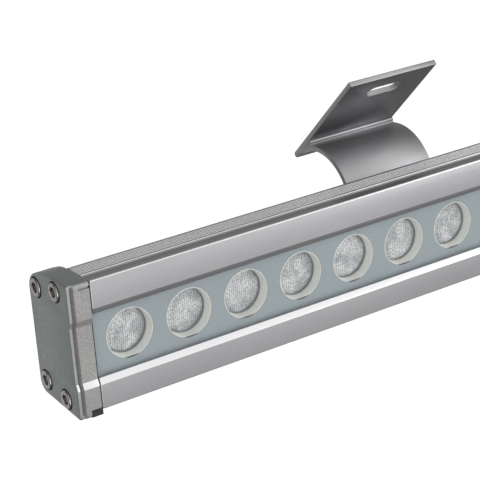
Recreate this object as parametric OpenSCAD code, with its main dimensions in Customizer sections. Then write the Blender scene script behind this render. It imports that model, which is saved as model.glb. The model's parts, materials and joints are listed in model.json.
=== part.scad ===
// Outdoor wall washer light: a slim linear bar with two tilting wall brackets.
// The wall is the plane y = 0, with the origin midway between the two bracket slots.
// The lamp is drawn upright in its own frame (front at y = 0, underside at z = 0)
// and then swung about its pivots into the tilt that it is shown at.

/* [Lamp] */
// Length of the lamp over both end caps
lamp_l = 1000; // [960:5:1300]
// Number of lamps in the row
led_count = 36; // [12:1:36]
// Distance from the housing's end to the first lens centre
end_margin = 16.5; // [14:0.5:30]
// Height of the flat band below the window
lower_band_h = 10.3; // [10:0.1:14]
// Height of the flat band above the window
upper_band_h = 11.5; // [11:0.1:16]
// Height of each bevel that leads to the glass
bevel_h = 2.5; // [1.5:0.1:3.5]
// Depth of each bevel
bevel_d = 1.1; // [0.6:0.1:2]
// Visible height of the glass
window_h = 26.7; // [25:0.1:34]

/* [Housing] */
// Thickness of the housing's outer walls
wall = 2.2; // [1.6:0.1:2.4]
// Thickness of the wall that the boards sit on
core_wall = 2.8; // [2:0.1:5]
// Depth from the core wall's back to the face of the rear track
track_d = 6.8; // [6.4:0.1:9]
// Height of the rear track block
track_block_h = 16.4; // [16:0.1:17]
// Height of the rear track's mouth
track_mouth_h = 9.4; // [8:0.1:9.6]
// Height of the rear track's inner slot
track_slot_h = 13; // [12:0.1:13.2]
// Thickness of the lips at the track's mouth
track_lip = 2.3; // [1.5:0.1:3]
// Thickness of each cooling fin
fin_t = 1.2; // [0.8:0.1:1.6]
// Number of cooling fins above the track
fin_count = 4; // [2:1:4]
// Depth of the ribbed top, from the front
top_d = 17.4; // [16:0.1:19]
// Depth of the smooth channel along the top's front
channel_d = 7.4; // [5:0.1:9]
// Number of fine grooves along the top
groove_count = 6; // [3:1:8]

/* [Window and optics] */
// Thickness of the glass
glass_t = 2; // [1.5:0.1:4]
// Height of the glass hidden behind each bevel
glass_hold = 1.5; // [1:0.1:1.6]
// Thickness of the rubber strip along each edge of the glass
seal_t = 1; // [0.6:0.1:1.2]
// Thickness of the mask plate behind the glass
mask_t = 0.8; // [0.5:0.1:1.2]
// Diameter of each round hole in the mask
mask_hole = 21; // [20:0.1:22]
// Depth of each lens face behind the mask's front
lens_recess = 4.75; // [3:0.05:6]
// Diameter of each lens face
lens_dia = 17.4; // [16:0.1:18]
// Thickness of the lens's flange
lens_flange = 1.3; // [0.8:0.1:2]
// Height of the lens from face to tip
lens_h = 6.1; // [5:0.1:8]
// Thickness of the circuit boards
board_t = 1.6; // [1:0.1:2]
// Height of the circuit boards
board_h = 22; // [20:0.5:23.5]
// Number of circuit boards end to end
board_count = 3; // [2:1:4]
// Thickness of the heat-conducting pads
pad_t = 0.3; // [0.2:0.1:1]

/* [End caps] */
// Length of each end, cap and gasket together
end_l = 10; // [9:0.1:14]
// Depth of the end caps from front to back
cap_d = 32.2; // [31:0.1:34]
// Drop of the end caps below the housing
cap_drop = 2.3; // [0.5:0.1:3]
// Thickness of the end gaskets
gasket_t = 0.6; // [0.5:0.1:1.5]
// Nominal diameter of the end cap screws
cap_screw = 5; // [4:0.5:5]
// Length of the end cap screws under the head
cap_screw_l = 20; // [16:1:25]
// Thread diameter of the cable gland
gland_thread = 12; // [10:1:12]
// Diameter of cable that the gland takes
cable_bore = 6.4; // [5:0.1:7]

/* [Wall brackets] */
// Distance between the two brackets, centre to centre
bracket_span = 640; // [400:10:760]
// Width of each bracket along the lamp
bracket_w = 47; // [38:1:60]
// Thickness of the bracket's plate and arm
bracket_t = 2.4; // [2:0.1:3]
// Height of the plate above its slot
plate_up = 11.3; // [9:0.1:20]
// Height of the plate below its slot
plate_down = 49.4; // [48:0.1:52]
// Length of the screw slot
slot_l = 18; // [12:0.5:26]
// Width of the screw slot
slot_w = 6.6; // [4.5:0.1:8]
// Outer radius of the curved arm
arm_r = 24; // [22:0.1:24.3]
// Tilt of the lamp at rest, away from upright against the wall
rest_tilt = 46; // [40:1:50]

/* [Pivots] */
// Nominal diameter of the pivot bolts
pivot_bolt = 5; // [4:0.5:5]
// Outer diameter of the bracket's barrel
barrel_dia = 10; // [9:0.1:10.4]
// Thickness of the pivot shoe's base
shoe_t = 2.2; // [1.6:0.1:2.3]
// Thickness of each ear of the pivot shoe
ear_t = 3.2; // [2.5:0.1:5]
// Diameter of the shoe's set screws
set_screw = 4; // [3:0.5:4]

/* [Hidden] */

$fn = 48;
// Overrun of every cut
over = 1;
// Gap between parts that sit together
seat_gap = 0.05;
// Radial gap of a screw in its hole
screw_gap = 0.05;
// Gap of parts that slide or swing past each other
slide_gap = 0.2;

// Heights in the housing, from its underside
body_h = lower_band_h + upper_band_h + 2 * bevel_h + window_h;
window_z0 = lower_band_h + bevel_h;
window_z1 = window_z0 + window_h;
lens_z = (window_z0 + window_z1) / 2;

// Depths in the housing, from its front
lip_t = 0.2;
glass_y = bevel_d + lip_t;
mask_y = glass_y + glass_t + seat_gap;
ledge_y = mask_y + mask_t + seat_gap;
lens_y = mask_y + lens_recess;
led_gap = 1.5;
board_y = lens_y + lens_h + led_gap;
core_y = board_y + board_t + pad_t;
back_y = core_y + core_wall;
track_y = back_y + track_d;

// Glass, its groove and the optical chamber
glass_z0 = window_z0 - glass_hold;
glass_z1 = window_z1 + glass_hold;
groove_z0 = glass_z0 - seal_t;
groove_z1 = glass_z1 + seal_t;
chamber_h = 24.3;
chamber_z0 = lens_z - chamber_h / 2;
chamber_z1 = lens_z + chamber_h / 2;

// Lengths along the lamp
housing_l = lamp_l - 2 * end_l;
led_pitch = (housing_l - 2 * end_margin) / (led_count - 1);
first_led = -(led_count - 1) * led_pitch / 2;

// End cap screws: two near the front and two near the back
port_wall = 0.9;
port_r = cap_screw / 2 + port_wall;
port_back_wall = 1.1;
port_back_r = cap_screw / 2 + port_back_wall;
port_low_y = 10.5;
port_low_z = 3.6;
port_high_y = 10.6;
port_front_top = 5;
port_back_inset = 6.3;
port_back_low = 6.4;
port_back_top = 7.8;
screw_places = [
    [port_low_y, port_low_z],
    [port_high_y, body_h - port_front_top],
    [cap_d - port_back_inset, port_back_low],
    [cap_d - port_back_inset, body_h - port_back_top]
];
head_share = 0.85;
key_share = 0.46;
head_r = head_share * cap_screw;
head_h = cap_screw;
head_proud = 0.8;
socket_r = key_share * cap_screw;
socket_d = cap_screw / 2;
counterbore_gap = 0.35;

// Ribbed top of the housing
channel_dip = 0.8;
channel_lip = 1.2;
ridge_d = 1.2;
groove_d = 0.5;
shoulder_drop = 3;
groove_pitch = (top_d - channel_d - ridge_d) / (groove_count + 1);

// Rear track and the pivot in front of it
track_z = 18;
fin_reach = 0.3;
fins_z0 = track_z + track_block_h / 2;
fins_z1 = body_h - port_back_top - port_back_r;
barrel_r = barrel_dia / 2;
shoe_gap = slide_gap;
shoe_y1 = track_y + shoe_gap + shoe_t;
pivot_y = shoe_y1 + 2 * slide_gap + barrel_r;
pivot_z = track_z;

// Curved arm: where it hangs straight behind the lamp, seen in the lamp's frame
arm_lead = 3;
arm_front_y = pivot_y - arm_lead;
arm_drop = 15.2;
arc_y = arm_front_y + arm_r;
arc_z = pivot_z + arm_drop;

// Place of the arm's centre seen from the wall, which sets the lamp's place
arc_wall_gap = 0.4;
arc_wall_y = arm_r + arc_wall_gap;
arc_wall_z = -48.1;
function swing(y, z) = [y * cos(rest_tilt) + z * sin(rest_tilt), z * cos(rest_tilt) - y * sin(rest_tilt)];
pivot_from_arc = swing(pivot_y - arc_y, pivot_z - arc_z);
pivot_wall_y = pivot_from_arc[0] - arc_wall_y;
pivot_wall_z = pivot_from_arc[1] + arc_wall_z;

// Bracket details: a thick foot under the plate, topped by a round bead, and a round tip
foot_top = 34.5;
bead_r = 0.9;
tip_r = 1.2;

// Pivot hardware
ear_gap = 0.3;
ear_x0 = bracket_w / 2 + ear_gap;
ear_x1 = ear_x0 + ear_t;
ear_h = barrel_dia;
washer_t = 1;
washer_r = pivot_bolt;
bolt_r = pivot_bolt / 2;
bolt_hole_r = bolt_r + screw_gap;
nut_h = pivot_bolt;
nut_share = 0.92;
nut_r = nut_share * pivot_bolt;
bolt_head_r = head_share * pivot_bolt;
bolt_spare = 1.5;
shoe_below = 7.6;
shoe_above = 9.5;
shoe_z0 = track_z - shoe_below;
shoe_z1 = track_z + shoe_above;
neck_h = track_mouth_h - 2 * slide_gap;
foot_h = track_slot_h - 2 * slide_gap;
foot_y0 = back_y + 2 * slide_gap;
foot_y1 = track_y - track_lip - slide_gap;
set_screw_x = 14;
set_screw_up = 6.4;
set_screw_z = track_z + set_screw_up;
set_screw_proud = 0.4;

// Cable gland
cap_wall = 4;
cap_hollow_y = bevel_d + cap_wall;
gland_y = (cap_hollow_y + core_y) / 2;
gland_z = lens_z;
gland_hex_r = 8.6;
gland_hex_h = 5;
gland_neck_share = 0.92;
gland_neck_r = gland_neck_share * gland_thread / 2;
gland_neck_h = 7;
gland_neck_wall = 1.3;
gland_nut_r = 8;
gland_nut_h = 11;
gland_nut_gap = 0.4;
gland_bore_r = gland_neck_r - gland_neck_wall;
gland_ring_t = 1;
seal_r = gland_bore_r - screw_gap;
seal_l = 6;

// Moves what is drawn in the lamp's own frame to its place in front of the wall
module lamp_frame() {
    translate([0, pivot_wall_y, pivot_wall_z])
        rotate([-rest_tilt, 0, 0])
            translate([0, -pivot_y, -pivot_z])
                children();
}

// A flat outline drawn as (depth, height), drawn out from x0 to x1
module bar(x0, x1) {
    translate([x0, 0, 0])
        rotate([90, 0, 90])
            linear_extrude(x1 - x0)
                children();
}

// A rectangle of an outline, from corner (y0, z0) to corner (y1, z1)
module patch(y0, z0, y1, z1) {
    translate([y0, z0])
        square([y1 - y0, z1 - z0]);
}

// A round hole or post along the lamp, from x0 to x1
module rod_x(x0, x1, y, z, r) {
    translate([x0, y, z])
        rotate([0, 90, 0])
            cylinder(h = x1 - x0, r = r);
}

// A round hole or post from front to back, from y0 to y1
module rod_y(x, y0, y1, z, r) {
    translate([x, y0, z])
        rotate([-90, 0, 0])
            cylinder(h = y1 - y0, r = r);
}

// A block between two corners
module block(x0, x1, y0, y1, z0, z1) {
    translate([x0, y0, z0])
        cube([x1 - x0, y1 - y0, z1 - z0]);
}

// What is turned about an axis that runs from front to back, one at each lamp
module at_each_led(y) {
    for (i = [0:led_count - 1])
        translate([first_led + i * led_pitch, y, lens_z])
            rotate([-90, 0, 0])
                children();
}

// Mirrors a left-hand piece to the right when side is 1
module on_side(side) {
    mirror([side > 0 ? 1 : 0, 0, 0])
        children();
}

// Full outline of the housing: flat bands and bevels in front, shoulders, fins and track behind
module full_outline() {
    port_y = cap_d - port_back_inset;
    polygon([
        [0, 0],
        [0, lower_band_h],
        [bevel_d, window_z0],
        [bevel_d, window_z1],
        [0, window_z1 + bevel_h],
        [0, body_h],
        [top_d, body_h],
        [top_d, body_h - shoulder_drop],
        [port_y, body_h - port_back_top + port_back_r],
        [port_y, fins_z1],
        [track_y + fin_reach, fins_z1],
        [track_y + fin_reach, fins_z0],
        [track_y, fins_z0],
        [track_y, track_z - track_block_h / 2],
        [port_y, track_z - track_block_h / 2],
        [port_y, port_back_low - port_back_r],
        [port_y - port_back_low + port_back_r, 0]
    ]);
}

// Fine grooves and the smooth channel of the ribbed top
module top_cuts() {
    patch(channel_lip, body_h - channel_dip, channel_d, body_h + over);
    for (i = [0:groove_count - 1])
        patch(
            channel_d + ridge_d + i * groove_pitch,
            body_h - groove_d,
            channel_d + ridge_d + (i + 0.5) * groove_pitch,
            body_h + over
        );
}

// Gaps between the cooling fins, from the track up to the upper screw port
module fin_gaps() {
    fin_step = (fins_z1 + fin_t - fins_z0) / (fin_count + 1);
    for (i = [0:fin_count])
        patch(
            back_y,
            fins_z0 + i * fin_step,
            track_y + fin_reach + over,
            fins_z0 + (i + 1) * fin_step - fin_t
        );
}

// Slot with lips along the rear track
module track_cuts() {
    patch(back_y + slide_gap, track_z - track_slot_h / 2, track_y - track_lip, track_z + track_slot_h / 2);
    patch(back_y + slide_gap, track_z - track_mouth_h / 2, track_y + over, track_z + track_mouth_h / 2);
}

// Everything that is open along the whole housing, but for the screw holes
module housing_cuts() {
    top_cuts();
    fin_gaps();
    track_cuts();
    // Window with the groove that holds the glass and the mask
    patch(-over, window_z0, glass_y + over, window_z1);
    patch(glass_y, groove_z0, ledge_y, groove_z1);
    patch(glass_y, chamber_z0, core_y, chamber_z1);
    // Hollow above the optical chamber, round the upper screw port
    difference() {
        patch(wall, groove_z1 + wall, top_d - wall, body_h - wall);
        translate(screw_places[1])
            circle(port_r);
    }
    // Hollow below the optical chamber, round the lower screw port
    difference() {
        patch(wall, wall, back_y, groove_z0 - wall);
        translate(screw_places[0])
            circle(port_r);
    }
}

module housing() {
    x0 = -housing_l / 2;
    x1 = housing_l / 2;
    color("silver")
        lamp_frame()
            difference() {
                union() {
                    bar(x0, x1)
                        full_outline();
                    for (i = [2:3])
                        rod_x(x0, x1, screw_places[i][0], screw_places[i][1], port_back_r);
                }
                bar(x0 - over, x1 + over)
                    housing_cuts();
                for (place = screw_places)
                    rod_x(x0 - over, x1 + over, place[0], place[1], cap_screw / 2 + screw_gap);
            }
}

module front_glass() {
    color("lightcyan", 0.4)
        lamp_frame()
            block(-housing_l / 2, housing_l / 2, glass_y, glass_y + glass_t, glass_z0, glass_z1);
}

module glass_seals() {
    color("black")
        lamp_frame()
            bar(-housing_l / 2, housing_l / 2) {
                patch(glass_y, groove_z0, glass_y + glass_t, glass_z0);
                patch(glass_y, glass_z1, glass_y + glass_t, groove_z1);
            }
}

module mask_plate() {
    color("slategray")
        lamp_frame()
            difference() {
                block(-housing_l / 2, housing_l / 2, mask_y, mask_y + mask_t, groove_z0 + seat_gap, groove_z1 - seat_gap);
                at_each_led(mask_y - over)
                    cylinder(h = mask_t + 2 * over, d = mask_hole);
            }
}

// White cup round each lens: a conical mouth, a seat for the flange and a foot on the board
module lens_holders() {
    rim_y = mask_y + 3 * seat_gap;
    rim_t = 0.4;
    ledge_w = 0.9;
    collar_r = mask_hole / 2 - 2 * seat_gap;
    mouth_r = collar_r - rim_t;
    seat_r = lens_dia / 2 + 2 * seat_gap;
    ledge_r = seat_r - ledge_w;
    face = lens_y - rim_y;
    seat = face + lens_flange;
    foot = board_y - rim_y;
    foot_r = 6;
    well_r = 4.5;
    foot_l = 1.2;
    color("white")
        lamp_frame()
            at_each_led(rim_y)
                rotate_extrude()
                    polygon([
                        [mouth_r, 0],
                        [collar_r, 0],
                        [collar_r, seat],
                        [foot_r, foot - foot_l],
                        [foot_r, foot],
                        [well_r, foot],
                        [well_r, foot - foot_l],
                        [ledge_r, seat],
                        [seat_r, seat],
                        [seat_r, face - seat_gap]
                    ]);
}

module lenses() {
    flange_w = 1;
    cone_r = lens_dia / 2 - flange_w;
    tip_radius = 3.2;
    well_r = 2.4;
    well_d = 3;
    color("whitesmoke")
        lamp_frame()
            at_each_led(lens_y)
                rotate_extrude()
                    polygon([
                        [0, 0],
                        [lens_dia / 2, 0],
                        [lens_dia / 2, lens_flange],
                        [cone_r, lens_flange],
                        [tip_radius, lens_h],
                        [well_r, lens_h],
                        [well_r, lens_h - well_d],
                        [0, lens_h - well_d]
                    ]);
}

// Each lamp: a square package with a round dome on it
module led_packages() {
    package_w = 3.4;
    package_h = 0.8;
    dome_r = 1.5;
    color("gold")
        lamp_frame()
            at_each_led(board_y)
                union() {
                    translate([-package_w / 2, -package_w / 2, -package_h])
                        cube([package_w, package_w, package_h]);
                    translate([0, 0, -package_h])
                        intersection() {
                            sphere(dome_r);
                            translate([-dome_r, -dome_r, -dome_r])
                                cube([2 * dome_r, 2 * dome_r, dome_r + seat_gap]);
                        }
                }
}

// Places midway between two neighbouring lamps, by the number of the first one
function between(i) = first_led + (i + 0.5) * led_pitch;

// Every sixth gap between lamps holds a board screw
screw_step = 6;
board_screw_r = 1.5;
board_screw_places = [for (i = [1:screw_step:led_count - 2]) between(i)];
board_l = (housing_l - 2 * seat_gap) / board_count;

module led_boards() {
    color("ivory")
        lamp_frame()
            difference() {
                for (i = [0:board_count - 1])
                    translate([-housing_l / 2 + i * (board_l + seat_gap), 0, 0])
                        block(0, board_l - seat_gap, board_y, board_y + board_t, lens_z - board_h / 2, lens_z + board_h / 2);
                for (x = board_screw_places)
                    rod_y(x, board_y - over, board_y + board_t + over, lens_z, board_screw_r + screw_gap);
            }
}

module thermal_pads() {
    color("lightpink")
        lamp_frame()
            difference() {
                for (i = [0:board_count - 1])
                    translate([-housing_l / 2 + i * (board_l + seat_gap), 0, 0])
                        block(0, board_l - seat_gap, board_y + board_t, core_y, lens_z - board_h / 2, lens_z + board_h / 2);
                for (x = board_screw_places)
                    rod_y(x, board_y, core_y + over, lens_z, board_screw_r + screw_gap);
            }
}

// Pan-head screws that end in the board's heat pad
module board_screws() {
    board_head_r = 2.7;
    board_head_h = 1.6;
    drive_r = 1.1;
    drive_d = 0.9;
    color("lightgray")
        lamp_frame()
            for (x = board_screw_places)
                difference() {
                    union() {
                        rod_y(x, board_y - board_head_h, board_y, lens_z, board_head_r);
                        rod_y(x, board_y - seat_gap, core_y - seat_gap, lens_z, board_screw_r);
                    }
                    translate([x, board_y - board_head_h - over, lens_z])
                        rotate([-90, 0, 0])
                            cylinder(h = drive_d + over, r = drive_r, $fn = 6);
                }
}

// Small driver chips, one between every sixth pair of lamps
module current_regulators() {
    chip_w = 4.6;
    chip_h = 4;
    chip_t = 1.5;
    chip_z = lens_z + board_h / 4;
    color("dimgray")
        lamp_frame()
            for (i = [screw_step / 2 + 1:screw_step:led_count - 2])
                block(
                    between(i) - chip_w / 2,
                    between(i) + chip_w / 2,
                    board_y - chip_t,
                    board_y,
                    chip_z - chip_h / 2,
                    chip_z + chip_h / 2
                );
}

// Bridges across the joints between the boards
module board_connectors() {
    bridge_l = 8;
    bridge_h = 3;
    bridge_t = 1.2;
    bridge_z = lens_z - board_h / 2 + bridge_h;
    color("white")
        lamp_frame()
            for (i = [1:board_count - 1])
                translate([-housing_l / 2 + i * (board_l + seat_gap), 0, 0])
                    block(
                        -bridge_l / 2,
                        bridge_l / 2,
                        board_y - bridge_t,
                        board_y,
                        bridge_z - bridge_h / 2,
                        bridge_z + bridge_h / 2
                    );
}

// Two-pole terminal on the last board, beside the cable entry
module input_terminal() {
    terminal_l = 6;
    terminal_h = 6;
    terminal_t = 3;
    terminal_inset = 2;
    terminal_z = lens_z + board_h / 4;
    pole_r = 1;
    x1 = housing_l / 2 - terminal_inset;
    color("white")
        lamp_frame()
            difference() {
                block(
                    x1 - terminal_l,
                    x1,
                    board_y - terminal_t,
                    board_y,
                    terminal_z - terminal_h / 2,
                    terminal_z + terminal_h / 2
                );
                for (s = [-1, 1])
                    rod_x(
                        x1 - terminal_l / 2,
                        x1 + over,
                        board_y - terminal_t / 2,
                        terminal_z + s * terminal_h / 4,
                        pole_r
                    );
            }
}

// Points of an arc in the (depth, height) plane
function arc(y, z, r, a0, a1, n) = [for (i = [0:n]) let (a = a0 + (a1 - a0) * i / n) [y + r * cos(a), z + r * sin(a)]];

// End cap outline, drawn in by inset: square to the front, crowned above, its underside rising to the back
cap_corner_r = 1.6;
cap_rise = 2.6;
cap_low_r = 5.2;
cap_back_r = 6;
cap_back_y = cap_d - cap_back_r;
cap_back_drop = 9.2;
cap_low_y = cap_d - cap_low_r;
under_turn = atan2(cap_rise, cap_d);
cap_high_z = body_h - cap_back_drop;
crown_y = 17;
crown_a = cap_back_y - crown_y;
crown_b = cap_high_z - body_h;
crown_r = (pow(cap_back_r, 2) - pow(crown_a, 2) - pow(crown_b, 2)) / (2 * (crown_b + cap_back_r));
crown_turn = atan2(crown_b + crown_r, crown_a);

// Height at which a round corner of radius r, at depth y, sits on the sloping underside
function under_z(y, r) = -cap_drop + cap_rise * y / cap_d + r / cos(under_turn);

module cap_outline(inset) {
    polygon(concat(
        arc(cap_corner_r, under_z(cap_corner_r, cap_corner_r), cap_corner_r - inset, 180, 270 + under_turn, 4),
        arc(cap_low_y, under_z(cap_low_y, cap_low_r), cap_low_r - inset, 270 + under_turn, 360, 8),
        arc(cap_back_y, cap_high_z, cap_back_r - inset, 0, crown_turn, 4),
        arc(crown_y, body_h - crown_r, crown_r - inset, crown_turn, 90, 8),
        arc(cap_corner_r, body_h - cap_corner_r, cap_corner_r - inset, 90, 180, 4)
    ));
}

cap_l = end_l - gasket_t;
rim_inset = 0.5;
rim_l = 0.7;
boss_wall = 0.8;
cap_step = 3.5;
counterbore_r = head_r + counterbore_gap;
boss_r = counterbore_r + boss_wall;
tongue_l = 4.3;
tongue_d = 4;
tongue_top = 1.1;
tongue_short = 0.1;
counterbore_d = head_h - head_proud;

// Left end cap: a cast block with a rounded rim, four counterbored screw holes and a hollow inside
module end_cap_left_solid() {
    x0 = -lamp_l / 2;
    x1 = x0 + cap_l;
    slit_h = 0.7;
    slit_d = 0.8;
    slit_drop = 2.4;
    slit_z = body_h - slit_drop;
    difference() {
        union() {
            // The rim is rounded in three steps
            hull() {
                bar(x0, x0 + rim_l)
                    cap_outline(rim_inset);
                bar(x0 + rim_l / 3, x0 + rim_l)
                    cap_outline(rim_inset / 3);
                bar(x0 + rim_l, x0 + 2 * rim_l)
                    cap_outline(0);
            }
            bar(x0 + rim_l, x1)
                cap_outline(0);
            for (i = [2:3])
                rod_x(x0 + rim_l / 2, x1, screw_places[i][0], screw_places[i][1], boss_r);
        }
        // Recessed band across the front, in line with the window
        bar(x0 - over, x1 + over)
            polygon([
                [-over, lower_band_h],
                [0, lower_band_h],
                [bevel_d, window_z0],
                [bevel_d, window_z1 - cap_step],
                [0, window_z1 - cap_step + bevel_h],
                [-over, window_z1 - cap_step + bevel_h]
            ]);
        // Slit under the top edge
        block(x0 + end_l / 2, x1 + over, -over, slit_d, slit_z, slit_z + slit_h);
        for (place = screw_places) {
            rod_x(x0 - over, x0 + counterbore_d, place[0], place[1], counterbore_r);
            rod_x(x0, x1 + over, place[0], place[1], cap_screw / 2 + screw_gap);
        }
        // Hollow behind the gasket, and the notch for the gasket's tongue
        block(x1 - cap_l / 2, x1 + over, cap_hollow_y, core_y, chamber_z0, chamber_z1);
        block(
            x1 - tongue_l - seat_gap,
            x1 + over,
            -over,
            tongue_d + seat_gap,
            -cap_drop - over,
            tongue_top + seat_gap
        );
    }
}

module end_cap_left() {
    color("gray")
        lamp_frame()
            end_cap_left_solid();
}

module end_cap_right() {
    color("gray")
        lamp_frame()
            difference() {
                on_side(1)
                    end_cap_left_solid();
                rod_x(lamp_l / 2 - end_l, lamp_l / 2 + over, gland_y, gland_z, gland_thread / 2 + screw_gap);
            }
}

// Rubber gasket between an end cap and the housing, with a tongue in a notch below the cap's front edge
module end_gasket(side) {
    x0 = -housing_l / 2 - gasket_t;
    gasket_inset = 0.5;
    color("black")
        lamp_frame()
            on_side(side)
                union() {
                    difference() {
                        bar(x0, x0 + gasket_t)
                            cap_outline(gasket_inset);
                        block(x0 - over, x0 + gasket_t + over, -over, bevel_d + gasket_inset, lower_band_h, window_z1 + bevel_h);
                        block(x0 - over, x0 + gasket_t + over, ledge_y, core_y, chamber_z0, chamber_z1);
                        for (place = screw_places)
                            rod_x(x0 - over, x0 + gasket_t + over, place[0], place[1], cap_screw / 2 + screw_gap);
                    }
                    block(x0 - tongue_l, x0 + gasket_t, gasket_inset, tongue_d, -cap_drop + tongue_short, tongue_top);
                }
}

module end_gasket_left() {
    end_gasket(-1);
}

module end_gasket_right() {
    end_gasket(1);
}

// Hex-socket screw along the lamp: the underside of its head at x0, pointing to +x
module socket_screw(x0, y, z, r, l, cap_r, cap_h, key_r, key_d) {
    difference() {
        union() {
            rod_x(x0 - cap_h, x0, y, z, cap_r);
            rod_x(x0 - seat_gap, x0 + l, y, z, r);
        }
        translate([x0 - cap_h - over, y, z])
            rotate([0, 90, 0])
                cylinder(h = key_d + over, r = key_r, $fn = 6);
    }
}

module end_cap_screws(side) {
    color("lightgray")
        lamp_frame()
            on_side(side)
                for (place = screw_places)
                    socket_screw(
                        counterbore_d - lamp_l / 2,
                        place[0],
                        place[1],
                        cap_screw / 2,
                        cap_screw_l,
                        head_r,
                        head_h,
                        socket_r,
                        socket_d
                    );
}

module end_cap_screws_left() {
    end_cap_screws(-1);
}

module end_cap_screws_right() {
    end_cap_screws(1);
}

// Cable gland in the right end cap: threaded body, sealing ring, rubber insert and domed nut
module gland_body() {
    x0 = lamp_l / 2 + gland_ring_t;
    color("dimgray")
        lamp_frame()
            difference() {
                union() {
                    rod_x(lamp_l / 2 - cap_l, x0 + seat_gap, gland_y, gland_z, gland_thread / 2);
                    translate([x0, gland_y, gland_z])
                        rotate([0, 90, 0])
                            cylinder(h = gland_hex_h, r = gland_hex_r, $fn = 6);
                    rod_x(x0, x0 + gland_hex_h + gland_neck_h, gland_y, gland_z, gland_neck_r);
                }
                rod_x(lamp_l / 2 - end_l - over, x0 + gland_hex_h + gland_neck_h + over, gland_y, gland_z, gland_bore_r);
            }
}

module gland_o_ring() {
    color("black")
        lamp_frame()
            difference() {
                rod_x(lamp_l / 2, lamp_l / 2 + gland_ring_t, gland_y, gland_z, gland_thread / 2 + gland_ring_t);
                rod_x(lamp_l / 2 - over, lamp_l / 2 + gland_ring_t + over, gland_y, gland_z, gland_thread / 2 + screw_gap);
            }
}

module gland_seal() {
    x1 = lamp_l / 2 + gland_ring_t + gland_hex_h + gland_neck_h;
    color("black")
        lamp_frame()
            difference() {
                rod_x(x1 - seal_l, x1, gland_y, gland_z, seal_r);
                rod_x(x1 - seal_l - over, x1 + over, gland_y, gland_z, cable_bore / 2);
            }
}

module gland_nut() {
    x0 = lamp_l / 2 + gland_ring_t + gland_hex_h + slide_gap;
    x1 = x0 + gland_nut_h;
    nut_wall = 1.4;
    color("dimgray")
        lamp_frame()
            difference() {
                union() {
                    translate([x0, gland_y, gland_z])
                        rotate([0, 90, 0])
                            cylinder(h = gland_nut_h / 2, r = gland_nut_r, $fn = 6);
                    translate([x0 + gland_nut_h / 2 - seat_gap, gland_y, gland_z])
                        rotate([0, 90, 0])
                            cylinder(h = gland_nut_h / 2 + seat_gap, r1 = gland_nut_r * cos(30), r2 = gland_nut_r - nut_wall);
                }
                rod_x(x0 - over, x1 - 2 * nut_wall, gland_y, gland_z, gland_neck_r + screw_gap);
                rod_x(x0, x1 + over, gland_y, gland_z, cable_bore / 2 + gland_nut_gap);
            }
}

// Puts a bracket's pieces at the left or the right bracket's middle
module at_bracket(side) {
    translate([side * bracket_span / 2, 0, 0])
        children();
}

// Pivot shoe: a T-foot in the rear track, a base on the track and two ears with the bolt's holes
module pivot_shoe(side) {
    color("darkgray")
        at_bracket(side)
            lamp_frame()
                difference() {
                    union() {
                        bar(-ear_x1, ear_x1) {
                            patch(foot_y0, track_z - foot_h / 2, foot_y1, track_z + foot_h / 2);
                            patch(foot_y1 - seat_gap, track_z - neck_h / 2, shoe_y1, track_z + neck_h / 2);
                            patch(track_y + shoe_gap, shoe_z0, shoe_y1, shoe_z1);
                        }
                        for (s = [-1, 1])
                            translate([s * (ear_x0 + ear_x1) / 2, 0, 0])
                                bar(-ear_t / 2, ear_t / 2) {
                                    patch(track_y + shoe_gap, pivot_z - ear_h / 2, pivot_y, pivot_z + ear_h / 2);
                                    translate([pivot_y, pivot_z])
                                        circle(ear_h / 2);
                                }
                    }
                    rod_x(-ear_x1 - over, ear_x1 + over, pivot_y, pivot_z, bolt_hole_r);
                    for (s = [-1, 1])
                        rod_y(s * set_screw_x, track_y - over, shoe_y1 + over, set_screw_z, set_screw / 2 + screw_gap);
                }
}

module pivot_shoe_left() {
    pivot_shoe(-1);
}

module pivot_shoe_right() {
    pivot_shoe(1);
}

// Set screws that press on the track's face and lock the shoe
module shoe_set_screws(side) {
    key_r = set_screw / 4;
    key_d = shoe_t / 2;
    y1 = shoe_y1 + set_screw_proud;
    color("lightgray")
        at_bracket(side)
            lamp_frame()
                for (s = [-1, 1])
                    difference() {
                        rod_y(s * set_screw_x, track_y + seat_gap, y1, set_screw_z, set_screw / 2);
                        translate([s * set_screw_x, y1 - key_d, set_screw_z])
                            rotate([-90, 0, 0])
                                cylinder(h = key_d + over, r = key_r, $fn = 6);
                    }
}

module shoe_set_screws_left() {
    shoe_set_screws(-1);
}

module shoe_set_screws_right() {
    shoe_set_screws(1);
}

module pivot_bolt_piece(side) {
    color("lightgray")
        at_bracket(side)
            lamp_frame()
                socket_screw(
                    -ear_x1 - washer_t,
                    pivot_y,
                    pivot_z,
                    bolt_r,
                    2 * (ear_x1 + washer_t) + nut_h + bolt_spare,
                    bolt_head_r,
                    pivot_bolt,
                    bolt_r - seat_gap,
                    bolt_r
                );
}

module pivot_bolt_left() {
    pivot_bolt_piece(-1);
}

module pivot_bolt_right() {
    pivot_bolt_piece(1);
}

module pivot_washers(side) {
    color("lightgray")
        at_bracket(side)
            lamp_frame()
                for (s = [-1, 1])
                    translate([s * (ear_x1 + washer_t / 2), 0, 0])
                        difference() {
                            rod_x(-washer_t / 2, washer_t / 2, pivot_y, pivot_z, washer_r);
                            rod_x(-washer_t, washer_t, pivot_y, pivot_z, bolt_hole_r);
                        }
}

module pivot_washers_left() {
    pivot_washers(-1);
}

module pivot_washers_right() {
    pivot_washers(1);
}

module pivot_nut(side) {
    x0 = ear_x1 + washer_t;
    color("lightgray")
        at_bracket(side)
            lamp_frame()
                difference() {
                    translate([x0, pivot_y, pivot_z])
                        rotate([0, 90, 0])
                            cylinder(h = nut_h, r = nut_r, $fn = 6);
                    rod_x(x0 - over, x0 + nut_h + over, pivot_y, pivot_z, bolt_hole_r);
                }
}

module pivot_nut_left() {
    pivot_nut(-1);
}

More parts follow.
